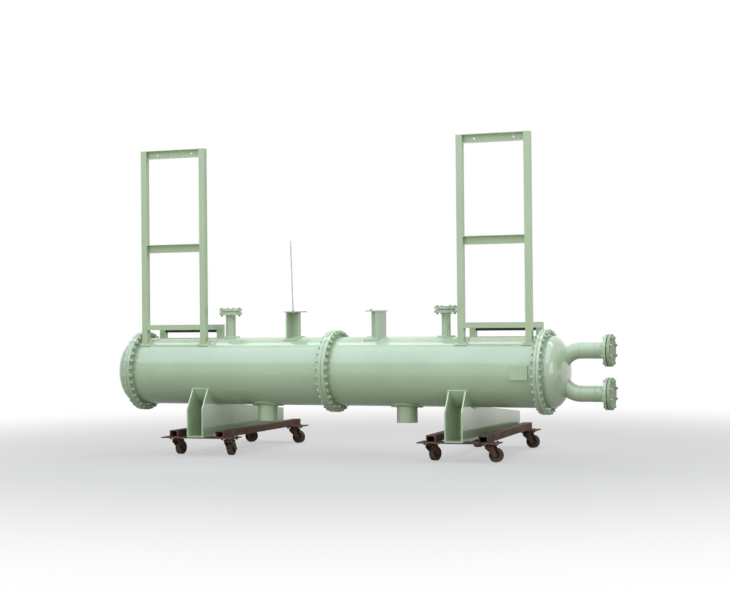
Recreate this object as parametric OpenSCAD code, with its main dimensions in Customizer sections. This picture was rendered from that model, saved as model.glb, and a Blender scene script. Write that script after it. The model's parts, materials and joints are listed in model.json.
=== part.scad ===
// Shell and tube heat exchanger, horizontal, painted steel, held on two long
// saddle beams that stand on two rusty wheeled dollies.
// Millimetres, +X along the shell towards the channel head, +Y away from the
// front, +Z up. Origin: middle of the outline at floor level.

/* [Shell] */
// Outside diameter of the shell
shell_od = 508; // [400:1:620]
// Wall thickness of the shell and of the end heads
shell_t = 10; // [6:1:16]
// Height of the shell axis above the floor
axis_z = 627; // [560:1:760]
// Distance from the middle joint to each end joint
section_l = 1608; // [1400:1:2000]
// Outside diameter of the girth flanges
flange_od = 606; // [520:1:720]
// Thickness of each flange of the middle joint
flange_t = 25; // [16:1:50]
// Gap seen between two girth flanges outside their raised faces
flange_gap = 3; // [2:0.5:10]
// Width of the raised faces outside the shell
face_rim = 16; // [8:1:20]

/* [End heads] */
// Thickness of each flange of the two end joints
end_flange_t = 20; // [14:1:44]
// Straight length of the heads before their domes
head_straight = 26; // [10:1:120]
// Depth of the domes
head_depth = 118; // [90:1:160]
// Thickness of the tube sheet
sheet_t = 26; // [16:1:38]
// Width of the tube sheet edge held between the flanges
sheet_rim = 6; // [4:1:12]
// Thickness of the pass partition in the channel head
partition_t = 8; // [6:1:14]

/* [Head nozzles] */
// Height of each head nozzle above or below the shell axis
head_nozzle_off = 151; // [125:1:175]
// Outside diameter of the head nozzle pipes
head_pipe_od = 114; // [89:1:140]
// Wall thickness of the head nozzle pipes
head_pipe_t = 6; // [4:0.5:9]
// Bend radius of the head nozzle pipes
head_bend_r = 152; // [120:1:220]
// Straight length of the head nozzle pipes up to the flange joint
head_run = 196; // [120:1:260]
// Distance from the channel joint to the head nozzle flange joints
head_nozzle_reach = 444; // [380:1:560]
// Outside diameter of the head nozzle flanges
head_flange_od = 226; // [180:1:260]
// Thickness of the head nozzle flanges
head_flange_t = 20; // [14:1:30]
// Height of the raised faces of the head nozzle covers
head_cover_gap = 7; // [3:1:10]
// Width of the outer part of the head nozzle covers left free by the raised face
head_cover_rim = 34; // [20:1:40]

/* [Top nozzles] */
// Distance of the left top nozzle from the left ladder frame
left_top_gap = 134; // [60:1:400]
// Distance of the right top nozzle from the right ladder frame
right_top_gap = 138; // [60:1:400]
// Outside diameter of the left top nozzle pipe
left_top_pipe = 76; // [48:1:114]
// Outside diameter of the right top nozzle pipe
right_top_pipe = 66; // [48:1:114]
// Wall thickness of the top nozzle pipes
top_pipe_t = 5; // [3:0.5:8]
// Width of the curved pads round the top nozzle pipes
top_pad_rim = 32; // [20:1:50]
// Outside diameter of the top nozzle flanges
top_flange_od = 174; // [140:1:220]
// Thickness of the top nozzle flanges and of their covers
top_flange_t = 22; // [14:1:30]
// Height of the raised faces of the top nozzle covers
top_cover_gap = 5; // [2:1:8]
// Width of the outer part of the top nozzle covers left free by the raised face
top_cover_rim = 30; // [20:1:40]
// Height of the flange joint above the shell axis
top_joint_h = 447; // [400:1:520]

/* [Bottom nozzles] */
// Distance of both bottom nozzles from the middle joint
bottom_x = 558; // [300:1:700]
// Outside diameter of the bottom nozzle pipes
bottom_pipe = 154; // [114:1:219]
// Wall thickness of the bottom nozzle pipes
bottom_pipe_t = 8; // [5:0.5:12]
// Distance from the shell axis to the open lower rim
bottom_reach = 372; // [330:1:440]
// Width of the curved pads round the bottom nozzle pipes
bottom_pad_rim = 42; // [20:1:70]
// Thickness of all curved pads on the shell but those of the saddles
pad_t = 8; // [5:1:14]

/* [Top brackets] */
// Distance of both top brackets from the middle joint
bracket_x = 325; // [200:1:500]
// Height of the bracket top face above the shell axis
bracket_h = 448; // [350:1:520]
// Depth of the bracket top plates from front to back
bracket_d = 214; // [120:2:260]
// Length of the bracket top plates
bracket_w = 92; // [80:1:200]
// Thickness of the bracket top plates
bracket_top_t = 8; // [6:1:16]
// Thickness of the upright plates and ribs of the brackets
bracket_t = 12; // [6:1:16]
// Width of the top plates left free outside the upright plates and ribs
bracket_edge = 8; // [4:1:20]
// Width of the pads left free round the brackets
bracket_pad_rim = 10; // [5:1:20]

/* [Ladder frames] */
// Distance from the outer post to the end joint
frame_end = 62; // [55:1:200]
// Width of each frame over its posts
frame_w = 544; // [420:1:640]
// Distance of the post fronts in front of the shell axis
frame_front = 162; // [120:1:180]
// Height of the frame tops above the shell axis
frame_h = 1690; // [1200:5:2000]
// Height of the upper edge of the middle bar above the shell axis
mid_bar_h = 968; // [700:1:1200]
// Height of the upper edge of the base bars above the shell axis
base_bar_h = 353; // [320:1:420]
// Side of the square tube posts
post_side = 46; // [35:1:60]
// Wall thickness of the square tube posts
post_t = 4; // [3:0.5:6]
// Height of the channel section of the two upper bars
bar_h = 62; // [45:1:80]
// Depth of the channel section of the two upper bars
bar_d = 38; // [25:1:46]
// Height of the base bars
base_bar_side = 38; // [25:1:60]
// Depth of the front and rear base bars
base_bar_d = 40; // [25:1:46]
// Plate thickness of all bars
section_t = 5; // [4:0.5:8]
// Spacing of the two bolt holes in the top bars
hole_gap = 292; // [100:1:360]
// Diameter of the bolt holes in the top bars
hole_d = 13; // [8:0.5:20]
// Length of the curved pad below each post
foot_pad_l = 92; // [60:1:120]
// Width of each foot pad left free in front of and behind its post
foot_rim = 12; // [5:1:20]

/* [Plate holder] */
// Distance from the plate holder to the channel joint
plate_end = 70; // [50:1:300]
// Length of the plate holder
plate_l = 128; // [80:1:200]
// Height of the plate holder
plate_h = 96; // [60:1:140]
// Lower edge of the plate holder, from the shell axis
plate_low = -48; // [-60:1:40]
// Distance of the holder face in front of the shell
plate_stand = 8; // [6:1:30]
// Sheet thickness of the plate holder
plate_t = 4; // [2:0.5:6]

/* [Saddles] */
// Distance of both saddles from the middle joint
saddle_x = 1016; // [850:1:1150]
// Width of each saddle over its two webs
saddle_w = 134; // [100:1:200]
// Distance of the saddle fronts in front of the shell axis
saddle_front = 320; // [290:1:380]
// Distance of the saddle ends behind the shell axis
saddle_back = 1130; // [700:5:1300]
// Height of the upright front edge of the webs
saddle_edge_h = 214; // [150:1:280]
// Height of the plain rear part of the webs
saddle_rear_h = 142; // [100:1:200]
// Thickness of the saddle plates
saddle_t = 10; // [6:1:16]
// Width of the flat upper ends of the webs beside the shell
saddle_lip = 3; // [1:0.5:12]
// Half of the angle of the shell that each saddle holds
saddle_wrap = 60; // [45:1:70]
// Thickness of the curved pads between shell and saddles
saddle_pad_t = 10; // [6:1:16]
// Width of the saddle pads left free beside the webs
saddle_pad_rim = 8; // [4:1:20]

/* [Dollies] */
// Length of the dolly rails
rail_l = 1470; // [1100:5:1700]
// Spacing of the two rails of each dolly
rail_gap = 380; // [300:1:460]
// Width of the dolly rails
rail_w = 66; // [40:1:80]
// Height of the dolly rails
rail_h = 50; // [40:1:80]
// Wall thickness of the dolly rails
rail_t = 6; // [4:0.5:8]
// Distance of the dolly middle behind the shell axis
dolly_y = 415; // [300:1:500]
// Turn of the left dolly under its saddle in degrees
left_dolly_turn = 1; // [-4:0.5:4]
// Turn of the right dolly under its saddle in degrees
right_dolly_turn = 3.5; // [-4:0.5:4]
// Sideways offset of the right dolly from its saddle
right_dolly_shift = -22; // [-30:1:30]
// Length of the dolly cross plates
cross_l = 584; // [520:1:680]
// Depth of the dolly cross plates from front to back
cross_d = 180; // [150:1:240]
// Thickness of the dolly cross plates
cross_t = 8; // [6:1:12]
// Distance that the cross plates stand out past the rail ends
cross_out = 8; // [0:1:30]

/* [Casters] */
// Height of the casters from floor to cross plate
caster_h = 132; // [125:1:170]
// Diameter of the caster wheels
wheel_d = 100; // [80:1:104]
// Width of the caster wheels
wheel_w = 44; // [24:1:50]
// Sideways spacing of the casters of each dolly
caster_gap = 430; // [400:1:470]
// Distance of the front king pins behind the front rail ends
king_in_front = 120; // [60:1:160]
// Distance of the rear king pins in front of the rear rail ends
king_in_back = 110; // [60:1:160]
// Distance from the king pin to the wheel axle
caster_trail = 42; // [25:1:50]
// Rest directions of the left casters: front a, front b, rear a, rear b
left_turns = [85, 95, 0, 350]; // [0:1:359]
// Rest directions of the right casters: front a, front b, rear a, rear b
right_turns = [72, 355, 330, 350]; // [0:1:359]
// Length of the caster plates
caster_plate_l = 110; // [80:1:140]
// Depth of the caster plates
caster_plate_d = 100; // [70:1:130]
// Thickness of the caster plates and of the fixed race below them
caster_plate_t = 5; // [4:0.5:8]
// Diameter of the fixed race
race_d = 80; // [50:1:90]
// Gap between the fixed race and the fork crown
crown_gap = 5; // [5:0.5:8]
// Diameter of the fork crown
crown_d = 92; // [60:1:100]
// Thickness of the fork crown
crown_t = 6; // [4:0.5:8]
// Thickness of the fork arms
fork_t = 5; // [3:0.5:8]
// Gap between wheel and fork arms
fork_gap = 5; // [4:0.5:8]
// Diameter of the king pin
king_d = 14; // [10:1:20]
// Diameter of the wheel axle
axle_d = 12; // [8:1:16]
// Length of the axle outside each fork arm
axle_out = 6; // [3:1:12]
// Radial clearance of the running pins
pin_gap = 0.05; // [0.02:0.01:0.1]
// Width of the tyre in the wheel radius
tyre_t = 13; // [8:1:20]
// Outside diameter of the wheel hub
hub_d = 30; // [24:1:40]
// Thickness of the wheel disc between hub and tyre
disc_t = 14; // [8:1:20]

/* [Hidden] */
$fn = 96;
// Small overlap between joined shapes
e = 0.01;
// Length that a cutting shape stands out past what it cuts
cut = 1;
ro = shell_od / 2;
ri = ro - shell_t;
rf = flange_od / 2;
g = flange_gap / 2;
r_face = ro + face_rim;
rp = ro + pad_t;
rw = ro + saddle_pad_t;
sheet_r = ro + sheet_rim;
// Axial places in the end heads, from the joint
flange_y = g + end_flange_t;
dome_y = flange_y + head_straight;
head_l = dome_y + head_depth;
// Ends of the head nozzle pipes
bend_x = section_l + head_nozzle_reach - head_run;
pipe_end_x = section_l + head_nozzle_reach;
// Width of the round pads inside the wall of their pipe
pad_lap = 1;
// Half width of the fork arms at the crown as a share of the crown diameter
arm_share = 0.34;
// Radius of the axle eyes as a share of the axle diameter
eye_share = 1.25;
// Chamfer of the tyre as a share of its width
chamfer_share = 1 / 3;
// Gap between the wheel hub and the fork arms
hub_gap = 3;
// Angle of the head nozzle bends, their last part inside the dome
head_bend_turn = 62;
// Places that follow the end joints
frame_in_x = section_l - frame_end - frame_w;
left_top_x = frame_in_x - left_top_gap;
right_top_x = frame_in_x - right_top_gap;
plate_x = section_l - plate_end - plate_l;
// Half angle of the saddle pads, one degree past the webs
saddle_pad_wrap = saddle_wrap + 1;
// Half angle of the bracket pads round the shell
bracket_wrap = asin((bracket_d / 2 + bracket_pad_rim) / rp);
// Angles of the foot pads from the top of the shell
foot_out = asin((frame_front + foot_rim) / rp);
foot_in = asin((frame_front - post_side - foot_rim) / rp);
// Heights and places of the dollies and casters
base_z = caster_h + cross_t;
crown_z = caster_h - 2 * caster_plate_t - crown_gap - crown_t;
arm_y = wheel_w / 2 + fork_gap;
king_y = [-rail_l / 2 + king_in_front, rail_l / 2 - king_in_back];
// Middle of the outline
x_left = -section_l - head_l;
x_right = pipe_end_x + head_cover_gap + head_flange_t;
ox = -(x_left + x_right) / 2;
oy = -dolly_y;

// Places a shape made round the shell axis and the middle joint.
module placed() translate([ox, oy, axis_z]) children();

// Cylinder along X from x0 to x1.
module xcyl(x0, x1, r) translate([x0, 0, 0]) rotate([0, 90, 0]) cylinder(h = x1 - x0, r = r);

// Ring along X.
module xring(x0, x1, r1, r2)
  difference() {
    xcyl(x0, x1, r1);
    xcyl(x0 - cut, x1 + cut, r2);
  }

module green() color([0.62, 0.71, 0.60]) children();
module rust() color([0.33, 0.25, 0.21]) children();
module tread() color([0.22, 0.21, 0.20]) children();

// Wall of one shell section with a raised-face flange at each end.
module section(a, ta, b, tb) {
  xring(a, b, ro, ri);
  xring(a + g, a + g + ta, rf, ro - cut);
  xring(a, a + g + cut, r_face, ro - cut);
  xring(b - g - tb, b - g, rf, ro - cut);
  xring(b - g - cut, b, r_face, ro - cut);
}

// Curved reinforcing pad on the shell round an upright pipe, above or below.
module round_pad(d, hole, up)
  difference() {
    intersection() {
      xcyl(-d, d, rp);
      translate([0, 0, up > 0 ? 0 : -2 * rp]) cylinder(h = 2 * rp, d = d);
    }
    xcyl(-d - cut, d + cut, ro);
    translate([0, 0, -2 * rp - cut]) cylinder(h = 4 * rp + 2 * cut, d = hole);
  }

// Rectangular curved pad on the shell between two angles from the top.
module strip_pad(l, a0, a1, t = pad_t)
  rotate([0, 90, 0]) rotate([0, 0, 180 - a1]) translate([0, 0, -l / 2])
    rotate_extrude(angle = a1 - a0) translate([ro, 0]) square([t, l]);

// Openings that both shell sections have for their nozzles.
module shell_holes(top_x, top_pipe, low_x) {
  translate([top_x, 0, 0]) cylinder(h = 2 * ro, d = top_pipe - 2 * top_pipe_t);
  translate([low_x, 0, -2 * ro]) cylinder(h = 2 * ro, d = bottom_pipe - 2 * bottom_pipe_t);
}

module left_shell() green() placed() difference() {
  section(-section_l, end_flange_t, 0, flange_t);
  shell_holes(-left_top_x, left_top_pipe, -bottom_x);
}

module right_shell() green() placed() difference() {
  section(0, flange_t, section_l, end_flange_t);
  shell_holes(right_top_x, right_top_pipe, bottom_x);
  xcyl(section_l - sheet_t / 2, section_l + cut, sheet_r);
}

module tube_sheet() green() placed()
  xcyl(section_l - sheet_t / 2, section_l + sheet_t / 2, sheet_r);

// Half outlines of an end head and of the space in it, radius along x,
// distance from the joint along y.
module head2d() {
  square([r_face, g + cut]);
  translate([0, g]) square([rf, end_flange_t]);
  translate([0, flange_y - cut]) square([ro, head_straight + cut]);
  dome2d(ro, head_depth);
}
module space2d(recess) {
  translate([0, -cut]) square([ri, dome_y + cut]);
  if (recess) translate([0, -cut]) square([sheet_r, sheet_t / 2 + cut]);
  dome2d(ri, head_depth - shell_t);
}

// Quarter of an ellipse, seated on the end of the straight part.
module dome2d(r, depth) intersection() {
  translate([0, dome_y - e]) scale([r, depth]) circle(r = 1);
  translate([0, dome_y - 2 * e]) square([r + cut, depth + cut]);
}

// Revolves a half outline round the shell axis, outwards from the end joint.
module at_end() translate([section_l, 0, 0]) rotate([0, 90, 0]) rotate_extrude() children();

module rear_head() green() placed() mirror([1, 0, 0]) difference() {
  at_end() head2d();
  at_end() space2d(false);
}

// Channel head: the nozzle pipes enter its dome.
module channel_head() green() placed() difference() {
  at_end() head2d();
  at_end() space2d(true);
  for (s = [-1, 1]) head_pipe_solid(s, head_pipe_od / 2);
}

// Plate inside the channel head that parts its upper and lower pass.
module pass_partition() green() placed() intersection() {
  at_end() space2d(false);
  translate([section_l + sheet_t / 2, -ro, -partition_t / 2]) cube([head_l, 2 * ro, partition_t]);
}

// Body of a head nozzle pipe of radius r: a bend that starts inside the dome
// and a straight run along +X. s is +1 for the upper one.
module head_pipe_solid(s, r, extra = 0)
  scale([1, 1, s]) {
    translate([bend_x, 0, head_nozzle_off])
      rotate([0, 90, 0]) cylinder(h = head_run + extra, r = r);
    translate([bend_x, 0, head_nozzle_off - head_bend_r])
      rotate([90, 0, 0]) rotate([0, 0, 90])
        rotate_extrude(angle = head_bend_turn) translate([head_bend_r, 0]) circle(r = r);
  }

module head_nozzle(s) green() placed() difference() {
  union() {
    difference() {
      head_pipe_solid(s, head_pipe_od / 2);
      // everything inside the head stays open
      xcyl(section_l, section_l + dome_y, ro);
      translate([section_l + dome_y - e, 0, 0]) scale([head_depth / ro, 1, 1]) sphere(r = ro - shell_t / 2);
    }
    translate([pipe_end_x - head_flange_t, 0, s * head_nozzle_off])
      rotate([0, 90, 0]) cylinder(h = head_flange_t, d = head_flange_od);
  }
  head_pipe_solid(s, head_pipe_od / 2 - head_pipe_t, cut);
}
module upper_head_nozzle() head_nozzle(1);
module lower_head_nozzle() head_nozzle(-1);

// Blind cover with a raised face, made on its joint, outer side up.
module blind(od, t, gap, rim) {
  cylinder(h = gap + cut, d = od - 2 * rim);
  translate([0, 0, gap]) cylinder(h = t, d = od);
}

module head_blind(s) green() placed()
  translate([pipe_end_x, 0, s * head_nozzle_off]) rotate([0, 90, 0])
    blind(head_flange_od, head_flange_t, head_cover_gap, head_cover_rim);
module upper_nozzle_blind() head_blind(1);
module lower_nozzle_blind() head_blind(-1);

// Top nozzle: pipe on a round pad with a flange at its upper end.
module top_nozzle(x, pipe) green() placed() translate([x, 0, 0]) difference() {
  union() {
    difference() {
      cylinder(h = top_joint_h, d = pipe);
      xcyl(-pipe, pipe, ro);
    }
    round_pad(pipe + 2 * top_pad_rim, pipe - 2 * pad_lap, 1);
    translate([0, 0, top_joint_h - top_flange_t]) cylinder(h = top_flange_t, d = top_flange_od);
  }
  cylinder(h = top_joint_h + cut, d = pipe - 2 * top_pipe_t);
}
module left_top_nozzle() top_nozzle(-left_top_x, left_top_pipe);
module right_top_nozzle() top_nozzle(right_top_x, right_top_pipe);

module top_blind(x) green() placed() translate([x, 0, top_joint_h])
  blind(top_flange_od, top_flange_t, top_cover_gap, top_cover_rim);
module left_top_blind() top_blind(-left_top_x);
module right_top_blind() top_blind(right_top_x);

// Open stub below the shell with its curved pad.
module bottom_nozzle(x) green() placed() translate([x, 0, 0]) difference() {
  union() {
    difference() {
      translate([0, 0, -bottom_reach]) cylinder(h = bottom_reach, d = bottom_pipe);
      xcyl(-bottom_pipe, bottom_pipe, ro);
    }
    round_pad(bottom_pipe + 2 * bottom_pad_rim, bottom_pipe - 2 * pad_lap, -1);
  }
  translate([0, 0, -bottom_reach - cut])
    cylinder(h = bottom_reach + cut, d = bottom_pipe - 2 * bottom_pipe_t);
}
module left_bottom_nozzle() bottom_nozzle(-bottom_x);
module right_bottom_nozzle() bottom_nozzle(bottom_x);

// Bracket on top of the shell: upright plate across near its outer end, a rib
// towards the middle, a flat top plate and a curved pad. s is -1 for the left.
module top_bracket(s) green() placed() scale([s, 1, 1]) translate([bracket_x, 0, 0]) {
  wall_h = bracket_h - bracket_top_t + e;
  inner_x = -bracket_w / 2 + bracket_edge;
  wall_x = bracket_w / 2 - bracket_edge - bracket_t;
  difference() {
    union() {
      translate([wall_x, -bracket_d / 2 + bracket_edge, 0]) cube([bracket_t, bracket_d - 2 * bracket_edge, wall_h]);
      translate([inner_x, -bracket_t / 2, 0]) cube([wall_x - inner_x + e, bracket_t, wall_h]);
    }
    xcyl(-bracket_w, bracket_w, rp - e);
  }
  translate([-bracket_w / 2, -bracket_d / 2, bracket_h - bracket_top_t]) cube([bracket_w, bracket_d, bracket_top_t]);
  strip_pad(bracket_w + 2 * bracket_pad_rim, -bracket_wrap, bracket_wrap);
}
module left_top_bracket() top_bracket(-1);
module right_top_bracket() top_bracket(1);

// Square tube post of height h with a closed top.
module post(h) difference() {
  cube([post_side, post_side, h]);
  translate([post_t, post_t, -cut]) cube([post_side - 2 * post_t, post_side - 2 * post_t, h - post_t + cut]);
}

// Channel bar of length l along x, open to the front.
module upper_bar(l) {
  translate([0, bar_d - section_t, 0]) cube([l, section_t, bar_h]);
  cube([l, bar_d, section_t]);
  translate([0, 0, bar_h - section_t]) cube([l, bar_d, section_t]);
}

// Channel bar of length l along x, its back on top.
module base_bar(l) {
  cube([l, section_t, base_bar_side]);
  translate([0, base_bar_d - section_t, 0]) cube([l, section_t, base_bar_side]);
  translate([0, 0, base_bar_side - section_t]) cube([l, base_bar_d, section_t]);
}

// Tall ladder frame on a low base that spans the shell.
module ladder_frame(s) green() placed() scale([s, 1, 1]) translate([frame_in_x, 0, 0]) difference() {
  clear_w = frame_w - 2 * post_side + 2 * e;
  union() {
    for (x = [0, frame_w - post_side]) {
      translate([x, -frame_front, 0]) post(frame_h);
      translate([x, frame_front - post_side, 0]) post(base_bar_h);
    }
    for (h = [frame_h, mid_bar_h])
      translate([post_side - e, -frame_front, h - bar_h]) upper_bar(clear_w);
    for (y = [-frame_front, frame_front - base_bar_d])
      translate([post_side - e, y, base_bar_h - base_bar_side]) base_bar(clear_w);
    for (x = [0, frame_w - section_t])
      translate([x, -frame_front + post_side - e, base_bar_h - base_bar_side])
        cube([section_t, 2 * (frame_front - post_side + e), base_bar_side]);
  }
  xcyl(-frame_w, 2 * frame_w, rp);
  for (x = [-1, 1])
    translate([(frame_w + x * hole_gap) / 2, -frame_front - cut, frame_h - bar_h / 2])
      rotate([-90, 0, 0]) cylinder(h = bar_d + 2 * cut, d = hole_d);
}
module left_ladder_frame() ladder_frame(-1);
module right_ladder_frame() ladder_frame(1);

// Four curved pads below the posts of a ladder frame.
module frame_pads(s) green() placed() scale([s, 1, 1])
  for (x = [frame_in_x + post_side / 2, frame_in_x + frame_w - post_side / 2])
    for (a = [[-foot_out, -foot_in], [foot_in, foot_out]])
      translate([x, 0, 0]) strip_pad(foot_pad_l, a[0], a[1]);
module left_frame_pads() frame_pads(-1);
module right_frame_pads() frame_pads(1);

// Blank plate holder on the front of the right shell section.
module nameplate_bracket() green() placed() translate([plate_x, 0, plate_low]) difference() {
  translate([0, -ro - plate_stand, 0]) cube([plate_l, ro, plate_h]);
  translate([plate_t, -ro - plate_stand + plate_t, plate_t])
    cube([plate_l - 2 * plate_t, ro, plate_h - 2 * plate_t]);
  translate([0, 0, -plate_low]) xcyl(-cut, plate_l + cut, ro);
}

// Side outline of a saddle web, depth along x, height from the shell axis along y.
module web2d() {
  zb = base_z - axis_z;
  grip_x = rw * sin(saddle_wrap) + saddle_lip;
  grip_z = -rw * cos(saddle_wrap);
  difference() {
    polygon([[-saddle_front, zb], [saddle_back, zb], [saddle_back, zb + saddle_rear_h],
      [saddle_front, zb + saddle_edge_h], [grip_x, grip_z], [-grip_x, grip_z],
      [-saddle_front, zb + saddle_edge_h]]);
    circle(r = rw);
  }
}

// Side outline of the rib below the shell.
module rib2d() difference() {
  translate([-saddle_t / 2, base_z - axis_z]) square([saddle_t, axis_z - base_z]);
  circle(r = rw);
}

// Plate of thickness t cut to a side outline, from x on.
module side_plate(x, t) translate([x, 0, 0]) rotate([90, 0, 90]) linear_extrude(height = t) children();

// Saddle beam: two webs, a bottom plate and upright ribs between the webs.
module saddle(s) green() placed() translate([s * saddle_x, 0, 0]) {
  zb = base_z - axis_z;
  inner_w = saddle_w - 2 * saddle_t + 2 * e;
  rib_step = (saddle_back - saddle_t / 2) / 3;
  rib_h = min(saddle_rear_h, saddle_edge_h);
  side_plate(-saddle_w / 2, saddle_t) web2d();
  side_plate(saddle_w / 2 - saddle_t, saddle_t) web2d();
  side_plate(-inner_w / 2, inner_w) rib2d();
  translate([-inner_w / 2, -saddle_front, zb]) cube([inner_w, saddle_front + saddle_back, saddle_t]);
  for (i = [1:3])
    translate([-inner_w / 2, i * rib_step - saddle_t / 2, zb]) cube([inner_w, saddle_t, rib_h]);
}
module left_saddle() saddle(-1);
module right_saddle() saddle(1);

// Curved wear pad between shell and saddle, slightly past the webs all round.
module saddle_pad(s) green() placed() translate([s * saddle_x, 0, 0])
  strip_pad(saddle_w + 2 * saddle_pad_rim, 180 - saddle_pad_wrap, 180 + saddle_pad_wrap, saddle_pad_t);
module left_saddle_pad() saddle_pad(-1);
module right_saddle_pad() saddle_pad(1);

// Places a shape made on the floor at the middle of the dolly of side s.
module on_dolly(s)
  translate([ox + s * saddle_x + (s > 0 ? right_dolly_shift : 0), oy + dolly_y, 0])
    rotate([0, 0, s > 0 ? right_dolly_turn : left_dolly_turn]) children();

// Dolly: two tube rails, two cross plates, four caster plates with king pins.
module dolly_frame(s) rust() on_dolly(s) {
  for (x = [-1, 1]) translate([x * rail_gap / 2, 0, base_z]) difference() {
    translate([-rail_w / 2, -rail_l / 2, 0]) cube([rail_w, rail_l, rail_h]);
    translate([-rail_w / 2 + rail_t, -rail_l / 2 - cut, rail_t])
      cube([rail_w - 2 * rail_t, rail_l + 2 * cut, rail_h - 2 * rail_t]);
  }
  for (y = [-rail_l / 2 - cross_out, rail_l / 2 + cross_out - cross_d])
    translate([-cross_l / 2, y, caster_h]) cube([cross_l, cross_d, cross_t]);
  for (x = [-1, 1]) for (y = king_y) translate([x * caster_gap / 2, y, caster_h]) {
    translate([-caster_plate_l / 2, -caster_plate_d / 2, -caster_plate_t])
      cube([caster_plate_l, caster_plate_d, caster_plate_t]);
    translate([0, 0, -2 * caster_plate_t]) cylinder(h = 2 * caster_plate_t, d = race_d);
    translate([0, 0, crown_z - caster_h - crown_t / 2]) cylinder(h = caster_h - crown_z, d = king_d);
  }
}
module left_dolly_frame() dolly_frame(-1);
module right_dolly_frame() dolly_frame(1);

// Places a caster part at a king pin of dolly s: x side, row 0 front or 1 rear.
// The wheel trails along the direction a, in degrees from +X of the object.
module at_king(s, side, row)
  on_dolly(s) translate([side * caster_gap / 2, king_y[row], 0])
    rotate([0, 0, caster_turn(s, side, row) - (s > 0 ? right_dolly_turn : left_dolly_turn)]) children();
function caster_turn(s, side, row) =
  (s > 0 ? right_turns : left_turns)[2 * row + (side + 1) / 2];

// Swivel fork: crown, two tapered arms and the axle.
module fork(s, side, row) rust() at_king(s, side, row) difference() {
  axle_z = wheel_d / 2;
  eye_r = axle_d * eye_share;
  top_x = crown_d * arm_share;
  union() {
    translate([0, 0, crown_z]) cylinder(h = crown_t, d = crown_d);
    for (y = [-arm_y, arm_y + fork_t]) translate([0, y, 0]) rotate([90, 0, 0]) linear_extrude(height = fork_t) {
      polygon([[-top_x, crown_z + crown_t / 2], [top_x, crown_z + crown_t / 2],
        [caster_trail + eye_r, axle_z + eye_r / 2], [caster_trail + eye_r, axle_z],
        [caster_trail - eye_r, axle_z], [-top_x, crown_z - eye_r]]);
      translate([caster_trail, axle_z]) circle(r = eye_r);
    }
    translate([caster_trail, arm_y + fork_t + axle_out, axle_z]) rotate([90, 0, 0])
      cylinder(h = 2 * (arm_y + fork_t + axle_out), d = axle_d);
  }
  translate([0, 0, crown_z - cut]) cylinder(h = crown_t + 2 * cut, d = king_d + 2 * pin_gap);
}

// Caster wheel with a recessed disc and a hub.
module wheel(s, side, row) tread() at_king(s, side, row)
  translate([caster_trail, 0, wheel_d / 2]) rotate([90, 0, 0]) rotate_extrude() wheel2d();

// Half section of a wheel, radius along x.
module wheel2d() {
  hub_w = wheel_w + 2 * (fork_gap - hub_gap);
  edge = tyre_t * chamfer_share;
  difference() {
    union() {
      translate([0, -hub_w / 2]) square([hub_d / 2, hub_w]);
      translate([0, -disc_t / 2]) square([wheel_d / 2 - tyre_t + e, disc_t]);
      polygon([[wheel_d / 2 - tyre_t, -wheel_w / 2], [wheel_d / 2 - edge, -wheel_w / 2],
        [wheel_d / 2, -wheel_w / 2 + edge], [wheel_d / 2, wheel_w / 2 - edge],
        [wheel_d / 2 - edge, wheel_w / 2], [wheel_d / 2 - tyre_t, wheel_w / 2]]);
    }
    translate([0, -hub_w]) square([axle_d / 2 + pin_gap, 2 * hub_w]);
  }
}

module fork_left_front_a() fork(-1, -1, 0);
module fork_left_front_b() fork(-1, 1, 0);
module fork_left_rear_a() fork(-1, -1, 1);
module fork_left_rear_b() fork(-1, 1, 1);
module fork_right_front_a() fork(1, -1, 0);
module fork_right_front_b() fork(1, 1, 0);
module fork_right_rear_a() fork(1, -1, 1);
module fork_right_rear_b() fork(1, 1, 1);
module wheel_left_front_a() wheel(-1, -1, 0);
module wheel_left_front_b() wheel(-1, 1, 0);
module wheel_left_rear_a() wheel(-1, -1, 1);
module wheel_left_rear_b() wheel(-1, 1, 1);
module wheel_right_front_a() wheel(1, -1, 0);
module wheel_right_front_b() wheel(1, 1, 0);
module wheel_right_rear_a() wheel(1, -1, 1);
module wheel_right_rear_b() wheel(1, 1, 1);

left_shell();
right_shell();
rear_head();
tube_sheet();
channel_head();
pass_partition();
upper_head_nozzle();
lower_head_nozzle();
upper_nozzle_blind();
lower_nozzle_blind();
left_top_nozzle();
right_top_nozzle();
left_top_blind();
right_top_blind();
left_bottom_nozzle();
right_bottom_nozzle();
left_top_bracket();
right_top_bracket();
left_ladder_frame();
right_ladder_frame();
left_frame_pads();
right_frame_pads();
nameplate_bracket();
left_saddle();
right_saddle();
left_saddle_pad();
right_saddle_pad();
left_dolly_frame();
right_dolly_frame();
fork_left_front_a();
fork_left_front_b();
fork_left_rear_a();
fork_left_rear_b();
fork_right_front_a();
fork_right_front_b();
fork_right_rear_a();
fork_right_rear_b();
wheel_left_front_a();
wheel_left_front_b();
wheel_left_rear_a();
wheel_left_rear_b();
wheel_right_front_a();
wheel_right_front_b();
wheel_right_rear_a();
wheel_right_rear_b();
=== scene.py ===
import json
import math
import random

import bmesh
import bpy
from mathutils import Matrix, Vector


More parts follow.
